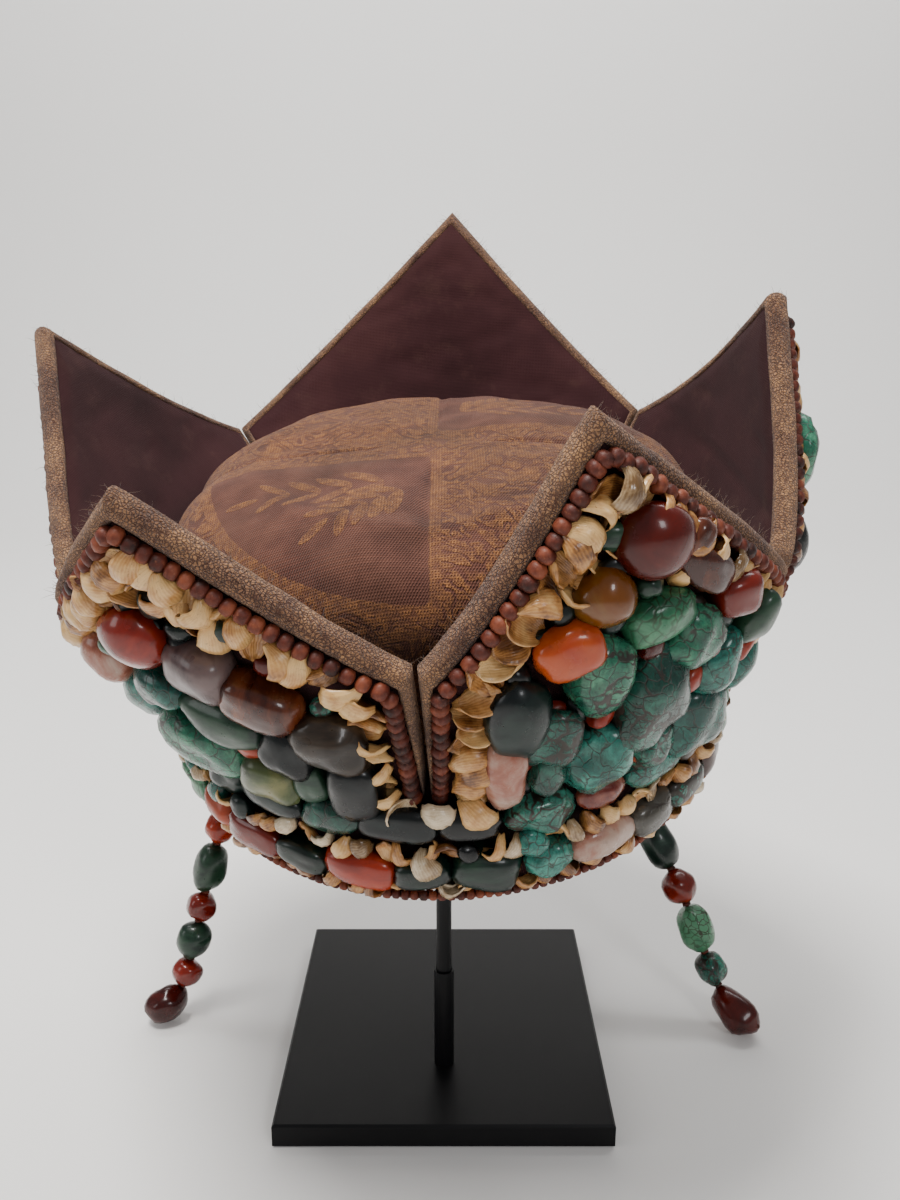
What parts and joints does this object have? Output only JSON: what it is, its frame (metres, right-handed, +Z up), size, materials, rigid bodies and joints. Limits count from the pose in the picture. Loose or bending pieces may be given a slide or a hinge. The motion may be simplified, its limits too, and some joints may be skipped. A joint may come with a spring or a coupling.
{
  "type": "ceremonial crown on display stand",
  "caption": "Padded cloth crown with five pointed lobes covered in stones, shell chips and beads, a brocade cap and hanging bead strings, on a black display stand.",
  "frame": {"origin": "centre of the stand's base plate, on its underside", "axes": "+Z up, -Y to the front where the two low lobes meet, +X to the right as seen from the front"},
  "size_m": [0.2943, 0.2653, 0.3553],
  "materials": {
    "stand": "satin black",
    "cap": "faded brocade",
    "cloth": "dark cotton lining",
    "binding": "worn woven binding",
    "stones": "polished pebbles",
    "beads": "polished beads"
  },
  "bodies": {
    "root": {"stand_base": "stand", "stand_sleeve": "stand", "stand_post": "stand", "cap": "cap", "brow_band": "cloth", "stones_brow": "stones", "lobe_front_right": "cloth", "lobe_side_right": "cloth", "lobe_back": "cloth", "lobe_side_left": "cloth", "lobe_front_left": "cloth", "binding_front_right": "binding", "binding_side_right": "binding", "binding_back": "binding", "binding_side_left": "binding", "binding_front_left": "binding", "stones_front_right": "stones", "stones_side_right": "stones", "stones_back": "stones", "stones_side_left": "stones", "stones_front_left": "stones", "bead_string_left": "beads", "bead_string_right": "beads"}
  },
  "joints": []
}
